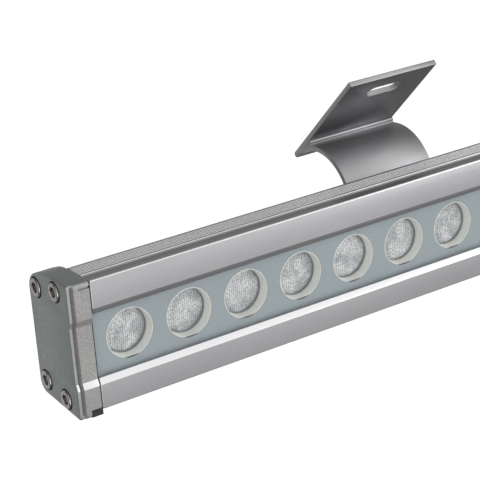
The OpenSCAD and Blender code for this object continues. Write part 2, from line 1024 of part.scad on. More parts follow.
module pivot_nut_right() {
    pivot_nut(1);
}

// Arm seen in the lamp's frame: straight up from the barrel, then over in an arc to the plate
module arm_outline() {
    arc_steps = 32;
    polygon(concat(
        [[arm_front_y, pivot_z]],
        arc(arc_y, arc_z, arm_r, 180, rest_tilt, arc_steps),
        arc(arc_y, arc_z, arm_r - bracket_t, rest_tilt, 180, arc_steps),
        [[arm_front_y + bracket_t, pivot_z]]
    ));
}

// Foot on the wall plate: fills the wedge between the plate and the arm's arc
module foot_outline() {
    middle_r = arm_r - bracket_t / 2;
    foot_turn = asin((-foot_top - arc_wall_z) / middle_r);
    polygon(concat(
        [[-bracket_t / 2, -foot_top]],
        arc(-arc_wall_y, arc_wall_z, middle_r, foot_turn, 0, 8),
        [[-bracket_t / 2, arc_wall_z]]
    ));
}

module bracket(side) {
    half = bracket_w / 2;
    slot_reach = (slot_l - slot_w) / 2;
    color("darkgray")
        at_bracket(side)
            difference() {
                union() {
                    block(-half, half, -bracket_t, 0, tip_r - plate_down, plate_up);
                    rod_x(-half, half, -tip_r, tip_r - plate_down, tip_r);
                    bar(-half, half)
                        foot_outline();
                    rod_x(-half, half, -bracket_t - bead_r / 2, -foot_top, bead_r);
                    lamp_frame()
                        union() {
                            bar(-half, half)
                                arm_outline();
                            rod_x(-half, half, pivot_y, pivot_z, barrel_r);
                        }
                }
                for (s = [-1, 1])
                    rod_y(s * slot_reach, -bracket_t - over, over, 0, slot_w / 2);
                block(-slot_reach, slot_reach, -bracket_t - over, over, -slot_w / 2, slot_w / 2);
                lamp_frame()
                    rod_x(-half - over, half + over, pivot_y, pivot_z, bolt_hole_r);
            }
}

module bracket_left() {
    bracket(-1);
}

module bracket_right() {
    bracket(1);
}

housing();
front_glass();
glass_seals();
mask_plate();
lens_holders();
lenses();
led_packages();
led_boards();
thermal_pads();
board_screws();
current_regulators();
board_connectors();
input_terminal();
end_cap_left();
end_cap_right();
end_gasket_left();
end_gasket_right();
end_cap_screws_left();
end_cap_screws_right();
gland_body();
gland_o_ring();
gland_seal();
gland_nut();
pivot_shoe_left();
pivot_shoe_right();
shoe_set_screws_left();
shoe_set_screws_right();
pivot_bolt_left();
pivot_bolt_right();
pivot_washers_left();
pivot_washers_right();
pivot_nut_left();
pivot_nut_right();
bracket_left();
bracket_right();
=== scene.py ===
"""Looks of the outdoor wall washer light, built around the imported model.
Lamp pieces are drawn in millimetres in the lamp's own frame: x along the lamp from its middle,
y from the front to the back, z up from the underside. The brackets are drawn in millimetres in
the shared frame. Materials, lights and the floor are in metres."""
import json
import math

import bmesh
import bpy
import numpy as np
from mathutils import Matrix, Vector
from mathutils.geometry import tessellate_polygon


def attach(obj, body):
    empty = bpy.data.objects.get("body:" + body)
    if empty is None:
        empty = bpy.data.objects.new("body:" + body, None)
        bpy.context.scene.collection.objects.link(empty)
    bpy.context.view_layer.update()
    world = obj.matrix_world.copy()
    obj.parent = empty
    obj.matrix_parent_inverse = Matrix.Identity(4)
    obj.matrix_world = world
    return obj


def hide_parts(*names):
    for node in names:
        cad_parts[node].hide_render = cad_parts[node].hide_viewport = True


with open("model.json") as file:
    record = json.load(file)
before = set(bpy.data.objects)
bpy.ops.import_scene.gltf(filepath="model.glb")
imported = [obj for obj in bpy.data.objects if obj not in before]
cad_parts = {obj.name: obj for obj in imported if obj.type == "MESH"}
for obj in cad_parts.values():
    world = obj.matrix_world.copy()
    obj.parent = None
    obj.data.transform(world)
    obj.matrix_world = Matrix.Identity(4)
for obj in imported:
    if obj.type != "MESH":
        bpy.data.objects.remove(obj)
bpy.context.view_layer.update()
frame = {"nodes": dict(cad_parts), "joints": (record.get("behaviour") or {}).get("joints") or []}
NODES = frame["nodes"]
MM = 0.001
SIDES = {"left": -1, "right": 1}
TILT = math.radians(46)
PIVOT = (35.0, 18.0)
JOINT = [j for j in frame["joints"] if j["name"] == "tilt_left"][0]["pos_m"]
LAMP = (Matrix.Translation((0, JOINT[1], JOINT[2])) @ Matrix.Rotation(-TILT, 4, "X")
        @ Matrix.Translation((0, -PIVOT[0] * MM, -PIVOT[1] * MM)) @ Matrix.Scale(MM, 4))
WALL = Matrix.Scale(MM, 4)
SCENE = bpy.context.scene
SCENE.view_settings.view_transform = "Standard"


# ---------- camera ----------

CAMERA_AT = (-754.9, -520.2, 293.3)
YAW, PITCH, ROLL = math.radians(32.57), math.radians(21.42), math.radians(-4.21)
FOCAL_PX, PHOTO_PX, SENSOR = 1690.97, 480, 36
NEAREST = 0.01


def add_camera():
    """The photo's camera, placed and turned in the lamp's frame."""
    sy, cy, sp, cp = math.sin(YAW), math.cos(YAW), math.sin(PITCH), math.cos(PITCH)
    forward = Vector((sy * cp, cy * cp, -sp))
    right = Vector((cy, -sy, 0))
    up = right.cross(forward)
    rolled_right = math.cos(ROLL) * right + math.sin(ROLL) * up
    rolled_up = -math.sin(ROLL) * right + math.cos(ROLL) * up
    turn = Matrix((rolled_right, rolled_up, -forward)).transposed().to_4x4()
    data = bpy.data.cameras.new("camera")
    data.sensor_width = SENSOR
    data.lens = FOCAL_PX / PHOTO_PX * SENSOR
    data.clip_start = NEAREST
    cam = bpy.data.objects.new("camera", data)
    SCENE.collection.objects.link(cam)
    place = LAMP @ Vector(CAMERA_AT)
    cam.matrix_world = Matrix.Translation(place) @ LAMP.to_quaternion().to_matrix().to_4x4() @ turn
    SCENE.camera = cam


# ---------- node trees and materials ----------

# The part of a noise's range that the ramps and spreads use
NOISE_LOW, NOISE_HIGH = 0.3, 0.7
# Colour sockets of the mix node, which share their names with others
MIX_A, MIX_B, MIX_RESULT = 6, 7, 2
# Turns object coordinates into the lamp's frame
LOCAL_TURN = (TILT, 0, 0)
# Scales of the soft patches, and how far gloss varies either way
METAL_PATCHES, CAST_PATCHES, PAINT_PATCHES = (14, 40, 40), (60, 60, 60), (45, 45, 45)
METAL_GLOSS, CAST_GLOSS, PAINT_GLOSS = 0.05, 0.07, 0.06


class Tree:
    """Short hand for a node tree."""

    def __init__(self, tree):
        self.tree = tree
        tree.nodes.clear()

    def add(self, kind, **values):
        node = self.tree.nodes.new(kind)
        for key, value in values.items():
            setattr(node, key, value)
        return node

    def link(self, a, out, b, into):
        self.tree.links.new(a.outputs[out], b.inputs[into])

    def ramp(self, source, out, stops):
        """A colour ramp. stops are (position, colour)."""
        node = self.add("ShaderNodeValToRGB")
        items = node.color_ramp.elements
        while len(items) < len(stops):
            items.new(0.5)
        for item, (at, colour) in zip(items, stops):
            item.position = at
            item.color = (*colour, 1)
        self.link(source, out, node, "Fac")
        return node

    def spread(self, source, out, low, high, a=NOISE_LOW, b=NOISE_HIGH):
        """The range from a to b mapped to the range from low to high."""
        node = self.add("ShaderNodeMapRange")
        node.inputs["From Min"].default_value = a
        node.inputs["From Max"].default_value = b
        node.inputs["To Min"].default_value = low
        node.inputs["To Max"].default_value = high
        self.link(source, out, node, "Value")
        return node


class Skin(Tree):
    """A material with one principled shader, fed from object coordinates."""

    def __init__(self, name):
        self.mat = bpy.data.materials.new(name)
        self.mat.use_nodes = True
        super().__init__(self.mat.node_tree)
        self.shader = self.add("ShaderNodeBsdfPrincipled")
        self.link(self.shader, 0, self.add("ShaderNodeOutputMaterial"), "Surface")
        self.coord = self.add("ShaderNodeTexCoord")

    def place(self, scale, turn=(0, 0, 0)):
        """Object coordinates, turned and then scaled."""
        turned_by = self.add("ShaderNodeMapping")
        turned_by.inputs["Rotation"].default_value = turn
        self.link(self.coord, "Object", turned_by, "Vector")
        scaled_by = self.add("ShaderNodeMapping")
        scaled_by.inputs["Scale"].default_value = scale
        self.link(turned_by, 0, scaled_by, "Vector")
        return scaled_by

    def noise(self, where, detail=3.0, rough=0.55):
        node = self.add("ShaderNodeTexNoise")
        node.inputs["Scale"].default_value = 1.0
        node.inputs["Detail"].default_value = detail
        node.inputs["Roughness"].default_value = rough
        self.link(where, 0, node, "Vector")
        return node

    def bump(self, source, out, height, under=None):
        node = self.add("ShaderNodeBump")
        node.inputs["Strength"].default_value = 1.0
        node.inputs["Distance"].default_value = height
        self.link(source, out, node, "Height")
        if under is not None:
            self.link(under, 0, node, "Normal")
        return node

    def feed(self, into, node):
        """The node's first output into the shader's named input."""
        self.link(node, 0, self.shader, into)

    def patches(self, scale, colour, share, turn=(0, 0, 0)):
        """Base colour in soft patches, a little darker and a little lighter."""
        broad = self.noise(self.place(scale, turn), 4)
        low, high = tones(colour, share)
        self.feed("Base Color", self.ramp(broad, "Fac", [(NOISE_LOW, low), (NOISE_HIGH, high)]))

    def multiply(self, a, b):
        """Base colour as the product of two ramps."""
        product = self.add("ShaderNodeMix", data_type="RGBA", blend_type="MULTIPLY")
        product.inputs["Factor"].default_value = 1.0
        self.link(a, "Color", product, MIX_A)
        self.link(b, "Color", product, MIX_B)
        self.link(product, MIX_RESULT, self.shader, "Base Color")

    def set(self, **values):
        for key, value in values.items():
            self.shader.inputs[key.replace("_", " ")].default_value = value


def tones(colour, share):
    """The colour a little darker and a little lighter."""
    return [tuple(min(1, c * (1 + step)) for c in colour) for step in (-share, share)]


def metal(name, colour, rough, metallic=0.85, share=0.05, grain=(3, 260, 260), grain_h=0.000012, fine=900,
          fine_h=0.00001):
    """Satin metal with drawn lines along x, fine pitting and soft patches in colour and gloss."""
    n = Skin(name)
    n.patches(METAL_PATCHES, colour, share, LOCAL_TURN)
    lines = n.noise(n.place(grain, LOCAL_TURN), 2)
    pits = n.noise(n.place([fine] * 3, LOCAL_TURN), 2)
    n.feed("Roughness", n.spread(lines, "Fac", rough - METAL_GLOSS, rough + METAL_GLOSS))
    n.feed("Normal", n.bump(lines, "Fac", grain_h, under=n.bump(pits, "Fac", fine_h)))
    n.set(Metallic=metallic)
    return n.mat


def cast(name, colour, rough, metallic, grain, height, speck):
    """Sand-cast metal: a grainy skin with light and dark specks."""
    n = Skin(name)
    grains = n.noise(n.place([grain] * 3), 3, 0.6)
    broad = n.noise(n.place(CAST_PATCHES), 3)
    low, high = tones(colour, speck)
    n.multiply(n.ramp(grains, "Fac", [(0.34, low), (0.66, high)]),
               n.ramp(broad, "Fac", [(NOISE_LOW, (0.94, 0.94, 0.94)), (NOISE_HIGH, (1, 1, 1))]))
    n.feed("Roughness", n.spread(grains, "Fac", rough + CAST_GLOSS, rough - CAST_GLOSS))
    n.feed("Normal", n.bump(grains, "Fac", height))
    n.set(Metallic=metallic)
    return n.mat


def matt(name, colour, rough, share=0.05, fine=700, height=0.00001, specular=0.5):
    """Paint, rubber or plastic: a fine skin with soft patches."""
    n = Skin(name)
    n.patches(PAINT_PATCHES, colour, share)
    grain = n.noise(n.place([fine] * 3), 3)
    n.feed("Roughness", n.spread(grain, "Fac", rough - PAINT_GLOSS, rough + PAINT_GLOSS))
    n.feed("Normal", n.bump(grain, "Fac", height))
    n.set(Specular_IOR_Level=specular)
    return n.mat


def glass_material():
    """Clear flat glass with a trace of dust and smears in its gloss."""
    n = Skin("clear_glass")
    smears = n.noise(n.place((8, 30, 30), LOCAL_TURN), 4)
    n.feed("Roughness", n.spread(smears, "Fac", 0.03, 0.10, a=0.35))
    dust = n.noise(n.place([900] * 3), 2)
    n.feed("Alpha", n.spread(dust, "Fac", 0.04, 0.08, b=0.8))
    n.feed("Base Color", n.ramp(smears, "Fac", [(NOISE_LOW, (0.62, 0.68, 0.70)), (NOISE_HIGH, (0.68, 0.73, 0.74))]))
    n.set(Specular_IOR_Level=0.8)
    return n.mat


def lens_material():
    """Clear plastic with a face of small moulded dots, each with a painted glint at its middle and darker towards its
    edge, under soft blotches of painted refracted light, lighter and darker in places.
    """
    n = Skin("lens_clear")
    dots = n.add("ShaderNodeTexVoronoi")
    dots.inputs["Scale"].default_value = 1.0
    dots.inputs["Randomness"].default_value = 0.3
    n.link(n.place((1080, 0, 1080), LOCAL_TURN), 0, dots, "Vector")
    painted_light_blotches = n.noise(n.place([170] * 3), 2)
    # Base colour: painted glints at the dots' middles, darker between them, times blotches of painted refracted light
    n.multiply(n.ramp(dots, "Distance", [(0.2, (1, 1, 1)), (0.62, (0.36, 0.38, 0.39))]),
               n.ramp(painted_light_blotches, "Fac", [(0.4, (0.62, 0.64, 0.65)), (0.6, (1, 1, 1))]))
    n.feed("Roughness", n.spread(painted_light_blotches, "Fac", 0.08, 0.2))
    n.feed("Normal", n.bump(dots, "Distance", 0.0001))
    n.set(Specular_IOR_Level=0.7, Transmission_Weight=0.05, IOR=1.49)
    return n.mat


ROLLED = {"metallic": 0.9, "grain": (30, 8, 8), "grain_h": 0.00001}
MATERIALS = {
    "anodised": metal("anodised_aluminium", (0.46, 0.455, 0.47), 0.29),
    # A lighter copy of the anodised metal: painted highlight on the housing's top edges and lower bevel
    "painted_highlight": metal("anodised_painted_highlight", (0.74, 0.735, 0.745), 0.25, share=0.03),
    "cast_rough": cast("cast_skin", (0.40, 0.395, 0.39), 0.48, metallic=0.7, grain=1500, height=0.00009, speck=0.16),
    "cast_smooth": cast("cast_face", (0.40, 0.43, 0.425), 0.42, metallic=0.75, grain=500, height=0.00001, speck=0.04),
    # Much lighter copy of the cast metal: painted highlight on the lower bevel of the cap's recessed band
    "cast_painted_highlight": cast("cast_bevel_painted_highlight", (0.80, 0.79, 0.79), 0.32, metallic=0.7, grain=1500, height=0.00003, speck=0.07),
    "bracket": metal("bracket_metal", (0.44, 0.44, 0.45), 0.40, **ROLLED),
    # Darker copy of the bracket's metal: painted shade on the front of the wall plate
    "plate": metal("bracket_painted_shade", (0.26, 0.26, 0.27), 0.36, **ROLLED),
    "stainless": metal("stainless", (0.60, 0.58, 0.56), 0.24, metallic=1.0, share=0.06, grain=(120, 400, 400),
                       grain_h=0.00001, fine=1500, fine_h=0.000006),
    "glass": glass_material(),
    "mask": matt("mask_paint", (0.30, 0.35, 0.37), 0.42, share=0.03, fine=1200, height=0.000006),
    "holder": matt("holder_white", (0.80, 0.80, 0.75), 0.38, share=0.03),
    "lens": lens_material(),
    # Dark grey on the clear lens's rim, flange and cone: painted shade of the gap between lens and cup
    "flange": matt("lens_flange", (0.16, 0.17, 0.175), 0.14, share=0.06, fine=500, height=0.000004, specular=0.6),
    "amber": matt("led_amber", (0.85, 0.55, 0.10), 0.30),
    "board": matt("board_white", (0.74, 0.74, 0.71), 0.45),
    "pad": matt("pad_grey", (0.42, 0.40, 0.42), 0.70),
    "chip": matt("chip_black", (0.03, 0.03, 0.03), 0.40),
    "rubber": matt("black_rubber", (0.02, 0.02, 0.021), 0.62, share=0.15, fine=900, height=0.00002),
    "gland": metal("gland_metal", (0.56, 0.54, 0.50), 0.28, metallic=0.95, share=0.06, grain=(200, 200, 200),
                   grain_h=0.00001),
}


# ---------- mesh helpers ----------

DOUBLED = 1e-7
NO_LENGTH, TOO_SHORT, SAME_POINT = 1e-9, 1e-6, 1e-3
# A fillet leaves corners straighter than this alone, and takes at most this share of an edge
NEARLY_STRAIGHT = math.radians(86)
EDGE_SHARE = 0.45
# Limits how far an inset moves a sharp corner
SHARPEST = 0.35
SMOOTH_ANGLE, CUTTER_ANGLE = 32, 30


def piece(name, verts, faces, mats, body, stands_for, place=LAMP, angle=SMOOTH_ANGLE, picks=None):
    """A closed mesh piece that rides on a body. picks gives each face's material number."""
    mesh = bpy.data.meshes.new(name)
    co = np.array(verts, float) @ np.array(place.to_3x3(), float).T + np.array(place.translation)
    mesh.from_pydata(co.tolist(), [], [list(map(int, f)) for f in faces])
    for mat in mats:
        mesh.materials.append(MATERIALS[mat])
    if picks is not None:
        mesh.polygons.foreach_set("material_index", picks)
    mesh.validate()
    obj = bpy.data.objects.new(name, mesh)
    SCENE.collection.objects.link(obj)
    finish_mesh(obj, angle)
    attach(obj, body)
    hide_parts(*stands_for)


def finish_mesh(obj, angle):
    """Normals outwards, smooth shading with sharp edges above an angle."""
    bm = bmesh.new()
    bm.from_mesh(obj.data)
    bmesh.ops.remove_doubles(bm, verts=bm.verts, dist=DOUBLED)
    bmesh.ops.recalc_face_normals(bm, faces=bm.faces)
    bm.to_mesh(obj.data)
    bm.free()
    obj.data.shade_smooth()
    obj.data.set_sharp_from_angle(angle=math.radians(angle))


def fillet(loop, radius, steps):
    """Rounds the corners of a closed loop. radius(i, point) gives each corner's radius, or 0."""
    out = []
    for i, p in enumerate(loop):
        r = radius(i, p)
        a, b = np.subtract(loop[i - 1], p), np.subtract(loop[(i + 1) % len(loop)], p)
        la, lb = np.hypot(*a), np.hypot(*b)
        if r <= 0 or la < TOO_SHORT or lb < TOO_SHORT:
            out.append(tuple(p))
            continue
        a, b = a / la, b / lb
        half = math.acos(max(-1, min(1, float(a @ b)))) / 2
        if half > NEARLY_STRAIGHT:
            out.append(tuple(p))
            continue
        cut_l = min(r / math.tan(half), EDGE_SHARE * la, EDGE_SHARE * lb)
        r = cut_l * math.tan(half)
        mid = (a + b) / np.hypot(*(a + b))
        centre = np.array(p) + mid * (r / math.sin(half))
        s, e = np.array(p) + a * cut_l - centre, np.array(p) + b * cut_l - centre
        turn = math.atan2(s[0] * e[1] - s[1] * e[0], s @ e)
        for k in range(steps + 1):
            t = turn * k / steps
            out.append((centre[0] + s[0] * math.cos(t) - s[1] * math.sin(t),
                        centre[1] + s[0] * math.sin(t) + s[1] * math.cos(t)))
    return out


def arc(cy, cz, r, a0, a1, steps):
    """Points of an arc, angles in degrees."""
    turns = [math.radians(a0 + (a1 - a0) * i / steps) for i in range(steps + 1)]
    return [(cy + r * math.cos(t), cz + r * math.sin(t)) for t in turns]


def circle(cy, cz, r, count):
    turns = [2 * math.pi * i / count for i in range(count)]
    return [(cy + r * math.cos(t), cz + r * math.sin(t)) for t in turns]


def inset(loop, d):
    """The loop moved inwards by d, corner by corner. The loop turns anticlockwise."""
    p = np.array(loop, float)
    before, after = np.roll(p, 1, 0), np.roll(p, -1, 0)
    u, v = p - before, after - p
    u /= np.maximum(np.hypot(u[:, 0], u[:, 1]), NO_LENGTH)[:, None]
    v /= np.maximum(np.hypot(v[:, 0], v[:, 1]), NO_LENGTH)[:, None]
    nu, nv = np.stack([-u[:, 1], u[:, 0]], 1), np.stack([-v[:, 1], v[:, 0]], 1)
    mid = nu + nv
    scale = np.maximum((mid * mid).sum(1) / 2, SHARPEST)
    return p + mid / scale[:, None] * np.reshape(d, (-1, 1))


def area(loop):
    """Signed area, above zero where the loop turns anticlockwise."""
    p = np.array(loop, float)
    q = np.roll(p, -1, 0)
    return float((p[:, 0] * q[:, 1] - p[:, 1] * q[:, 0]).sum() / 2)


def edges(loop):
    """Each point of a closed loop with the next one."""
    return zip(loop, loop[1:] + loop[:1])


def clean(loop):
    """The loop anticlockwise, without doubled points."""
    loop = [p for p, q in edges(loop) if math.dist(p, q) > SAME_POINT]
    return loop[::-1] if area(loop) < 0 else loop


def strip(a, b, n):
    """Walls between two rings of n points that start at a and b."""
    return [(a + k, a + (k + 1) % n, b + (k + 1) % n, b + k) for k in range(n)]


def stack(rings):
    """Rings of equally many points, joined by walls and closed at both ends."""
    n = len(rings[0])
    verts = [p for ring in rings for p in ring]
    last = len(verts) - n
    faces = [face for at in range(0, last, n) for face in strip(at, at + n, n)]
    return verts, faces + [tuple(range(n)), tuple(range(last, last + n))]


def bar(loop, stations, holes=()):
    """Walls and ends of a loop of (y, z) drawn along x. stations are (x, inset); holes go right through."""
    loop = clean(loop)
    n = len(loop)
    x0, x1 = stations[0][0], stations[-1][0]
    verts = [(x, y, z) for x, d in stations for y, z in inset(loop, d)]
    last = len(verts) - n
    faces = [face for at in range(0, last, n) for face in strip(at, at + n, n)]
    ends = [[range(n)], [range(last, last + n)]]
    for hole in holes:
        m = len(hole)
        a = len(verts)
        b = a + m
        verts += [(x, y, z) for x in (x0, x1) for y, z in hole]
        faces += strip(b, a, m)
        ends[0].append(range(a, b))
        ends[1].append(range(b, b + m))
    for group in ends:
        flat = [i for ring in group for i in ring]
        rings = [[Vector((verts[i][1], verts[i][2], 0)) for i in ring] for ring in group]
        faces += [tuple(flat[k] for k in tri) for tri in tessellate_polygon(rings)]
    return verts, faces


def softened(half, steps):
    """Stations of a bar from -half to half. steps are (distance from the end, inset)."""
    first = [(-half + a, d) for a, d in steps]
    return first + [(-x, d) for x, d in reversed(first)]


def lathe_x(profile, y, z, segments=48):
    """A profile of (x, r) turned about an axis along x, closed at both ends."""
    return stack([[(x, a, b) for a, b in circle(y, z, r, segments)] for x, r in profile])


def turned(profile, segments, axis_at, squeeze):
    """A closed profile of (r, y) turned about an axis along y at (x, z). squeeze(i, x, z) moves its points."""
    verts, faces = [], []
    for k in range(segments):
        t = 2 * math.pi * k / segments
        for i, (r, y) in enumerate(profile):
            px, pz = squeeze(i, r * math.cos(t), r * math.sin(t))
            verts.append((axis_at[0] + px, y, axis_at[1] + pz))
    n = len(profile)
    for k in range(segments):
        faces += strip(k * n, (k + 1) % segments * n, n)
    return verts, faces


def many(parts):
    """Several meshes as one."""
    verts, faces = [], []
    for v, f in parts:
        start = len(verts)
        verts += v
        faces += [tuple(i + start for i in face) for face in f]
    return verts, faces


def solid(name, verts, faces):
    """A plain mesh object, to cut or to cut with."""
    mesh = bpy.data.meshes.new(name)
    mesh.from_pydata(verts, [], faces)
    obj = bpy.data.objects.new(name, mesh)
    SCENE.collection.objects.link(obj)
    finish_mesh(obj, CUTTER_ANGLE)
    return obj


def cut(obj, name, shape):
    """Cuts a shape, as verts and faces, out of an object, exactly."""
    other = solid(name, *shape)
    mod = obj.modifiers.new("cut", "BOOLEAN")
    mod.operation = "DIFFERENCE"
    mod.solver = "EXACT"
    mod.object = other
    bpy.context.view_layer.update()
    done = bpy.data.meshes.new_from_object(obj.evaluated_get(bpy.context.evaluated_depsgraph_get()))
    obj.modifiers.clear()
    obj.data = done
    bpy.data.objects.remove(other)


# ---------- housing ----------

BODY_H, BODY_HALF, WALL_T = 53.5, 490, 2.2
# Height of the lenses' axes, and of the cable gland's
LENS_Z = 26.15
# Front: two flat bands, a bevel from each to the glass, the glass groove and the chamber behind it
LOW_BAND, HIGH_BAND = 10.3, 42.0
BEVEL_D, BEVEL_H = 1.1, 2.5
GLASS_Y, LEDGE_Y = 1.3, 4.2
CHAMBER_Y, CHAMBER_LOW, CHAMBER_HIGH = 17.6, 14.0, 38.3
# Top: a ridge, a smooth channel, fine ribs and a shoulder
RIDGE_D, CHANNEL_END, RIBS_AT, TOP_D = 1.2, 7.4, 8.6, 17.4
CHANNEL_Z, RIB_FLOOR, SHOULDER_Z = 52.7, 53.0, 50.5
RIBS = 6
# Back: cooling fins above the track for the shoes
FINS_LOW, FINS_HIGH, FIN_T, FIN_GAPS = 26.2, 42.1, 1.2, 5
FIN_ROOT, FIN_TIP = 20.4, 27.5
TRACK_Y, LIP_Y, BACK_Y = 20.6, 24.9, 27.2
TRACK_LOW, TRACK_HIGH, MOUTH_LOW, MOUTH_HIGH = 11.5, 24.5, 13.3, 22.7
TRACK_FOOT, REAR_FOOT = 9.8, 23.1
# Cap screws as (y, z): front low, front high, back low, back high
SCREWS = [(10.5, 3.6), (10.6, 48.5), (25.9, 6.4), (25.9, 45.7)]
BORE_R, FRONT_PORT_R, BACK_PORT_R = 2.55, 3.4, 3.6
# How far behind its screw the lower back port starts from the track's foot
PORT_START = 1.183
# Radii of the fillets
BACK_FILLET, RIB_FILLET, RIB_FLOOR_FILLET = 0.25, 0.29, 0.12
HOUSING_SOFT = {
    (0, 0): 0.5, (0, LOW_BAND): 0.3, (BEVEL_D, LOW_BAND + BEVEL_H): 0.08, (BEVEL_D, HIGH_BAND - BEVEL_H): 0.08,
    (0, HIGH_BAND): 0.3, (0, BODY_H): 0.55, (RIDGE_D, BODY_H): 0.22, (RIDGE_D, CHANNEL_Z): 0.15,
    (CHANNEL_END, CHANNEL_Z): 0.15, (CHANNEL_END, BODY_H): 0.5, (RIBS_AT, BODY_H): 0.3, (TOP_D, BODY_H): 0.4,
    (TOP_D, SHOULDER_Z): 0.4, (REAR_FOOT, 0): 0.6}
# (distance from the end, inset) of the edges of its cut ends
HOUSING_ENDS = [(0, 0.25), (0.2, 0.06), (0.45, 0)]
NEAR, JUST_ABOVE = 0.1, 0.02


def housing_loop():
    """The extrusion's whole outline: bands, bevels, glass groove, chamber, channel, ribs, fins and track."""
    low_bevel, high_bevel = LOW_BAND + BEVEL_H, HIGH_BAND - BEVEL_H
    loop = [(0, 0), (0, LOW_BAND), (BEVEL_D, low_bevel), (GLASS_Y, low_bevel), (GLASS_Y, LOW_BAND),
            (LEDGE_Y, LOW_BAND), (LEDGE_Y, CHAMBER_LOW), (CHAMBER_Y, CHAMBER_LOW), (CHAMBER_Y, CHAMBER_HIGH),
            (LEDGE_Y, CHAMBER_HIGH), (LEDGE_Y, HIGH_BAND), (GLASS_Y, HIGH_BAND), (GLASS_Y, high_bevel),
            (BEVEL_D, high_bevel), (0, HIGH_BAND), (0, BODY_H)]
    loop += [(RIDGE_D, BODY_H), (RIDGE_D, CHANNEL_Z), (CHANNEL_END, CHANNEL_Z), (CHANNEL_END, BODY_H),
             (RIBS_AT, BODY_H)]
    pitch = (TOP_D - RIBS_AT) / (RIBS + 1)
    for i in range(RIBS):
        y = RIBS_AT + i * pitch
        loop += [(y, BODY_H)] * (i > 0)
        loop += [(y, RIB_FLOOR), (y + pitch / 2, RIB_FLOOR), (y + pitch / 2, BODY_H)]
    loop += [(TOP_D, BODY_H), (TOP_D, SHOULDER_Z)]
    loop += arc(*SCREWS[3], BACK_PORT_R, 90, -90, 18)
    step = (FINS_HIGH + FIN_T - FINS_LOW) / FIN_GAPS
    for i in reversed(range(FIN_GAPS)):
        floor_z = FINS_LOW + i * step
        loop += [(FIN_ROOT, floor_z + step - FIN_T), (FIN_ROOT, floor_z)]
        if i:
            loop += [(FIN_TIP, floor_z), (FIN_TIP, floor_z - FIN_T)]
    loop += [(BACK_Y, FINS_LOW), (BACK_Y, MOUTH_HIGH), (LIP_Y, MOUTH_HIGH), (LIP_Y, TRACK_HIGH),
             (TRACK_Y, TRACK_HIGH), (TRACK_Y, TRACK_LOW), (LIP_Y, TRACK_LOW), (LIP_Y, MOUTH_LOW),
             (BACK_Y, MOUTH_LOW), (BACK_Y, TRACK_FOOT)]
    y, z = SCREWS[2]
    loop += arc(y, z, BACK_PORT_R, math.degrees(math.atan2(TRACK_FOOT - z, PORT_START)), -90, 16)
    loop += [(REAR_FOOT, 0)]
    return loop


def housing_radius(_, point):
    """Radius of the fillet at a corner of the housing's outline."""
    y, z = point
    if (y, z) in HOUSING_SOFT:
        return HOUSING_SOFT[y, z]
    if z in (BODY_H, RIB_FLOOR) and y > RIBS_AT:
        return RIB_FILLET if z == BODY_H else RIB_FLOOR_FILLET
    return BACK_FILLET if y >= LIP_Y and TRACK_FOOT <= z <= FINS_HIGH else 0


def housing_hollows():
    """Two hollows that run right through, each with a screw port standing in it, and the four screw bores."""
    front, top, floor_z = WALL_T, BODY_H - WALL_T, WALL_T
    (low_y, low_z), (high_y, high_z) = SCREWS[:2]
    high = math.degrees(math.asin((top - high_z) / FRONT_PORT_R))
    low = math.degrees(math.asin((low_z - floor_z) / FRONT_PORT_R))
    upper = [(front, HIGH_BAND + WALL_T), (TOP_D - WALL_T, HIGH_BAND + WALL_T), (TOP_D - WALL_T, top)]
    upper += arc(high_y, high_z, FRONT_PORT_R, high, -180 - high, 16) + [(front, top)]
    lower = [(front, floor_z)] + arc(low_y, low_z, FRONT_PORT_R, 180 + low, -low, 16)
    lower += [(FIN_ROOT, floor_z), (FIN_ROOT, LOW_BAND - WALL_T), (front, LOW_BAND - WALL_T)]
    return [upper, lower] + [circle(y, z, BORE_R, 24) for y, z in SCREWS]


def housing():
    """The extrusion, with a painted highlight on its top edges and its lower bevel: a lighter copy of its metal."""
    loop = clean(fillet(housing_loop(), housing_radius, 3))
    painted_highlight_picks = []
    # Faces along the top and on the lower bevel take the lighter copy, a painted highlight
    for p, q in edges(loop):
        y, z = (p[0] + q[0]) / 2, (p[1] + q[1]) / 2
        top = z > RIB_FLOOR + JUST_ABOVE and (y < RIDGE_D / 2 or CHANNEL_END - NEAR < y < TOP_D - NEAR)
        bevel = y < BEVEL_D + NEAR and LOW_BAND - NEAR < z < LOW_BAND + BEVEL_H + NEAR
        painted_highlight_picks.append(1 if top or bevel else 0)
    stations = softened(BODY_HALF, HOUSING_ENDS)
    verts, faces = bar(loop, stations, housing_hollows())
    walls = painted_highlight_picks * (len(stations) - 1)
    piece("housing_skin", verts, faces, ["anodised", "painted_highlight"], "lamp", ["housing"],
          picks=walls + [0] * (len(faces) - len(walls)))


# ---------- end caps and their screws ----------

LAMP_HALF = 500
CAP_D, CAP_DROP, CAP_RISE = 32.2, 2.3, 2.6
CAP_FRONT_R, CAP_LOW_R, CAP_BACK_R = 1.6, 5.2, 6
CROWN_Y, CROWN_DROP = 17, 9.2
# Band that is recessed in the cap's front edge, its fillets, and where the edge's plain ends begin
RECESS_TOP = 36.0
RECESS_SOFT = (0, 2.6, 2.6, 0.6, 0.6, 0)
FRONT_HIGH, FRONT_LOW = 41, 8
# Round the rear screws the outline swells. It has short steps there
BOSS_R, BOSS_FROM_Z, BOSS_STEP = 5.5, 38, 0.4
# (x, inset along the front edge with its bead and groove, inset along the other edges)
RIM = [(0, 1.2, 0.6), (0.1, 0.85, 0.36), (0.3, 0.6, 0.18), (0.6, 0.45, 0.06), (0.95, 0.42, 0), (1.3, 0.55, 0),
       (1.5, 0.9, 0), (1.65, 1.5, 0), (1.9, 1.85, 0), (2.15, 1.55, 0), (2.5, 0.6, 0), (2.8, 0.15, 0), (3.1, 0, 0),
       (9.4, 0, 0)]
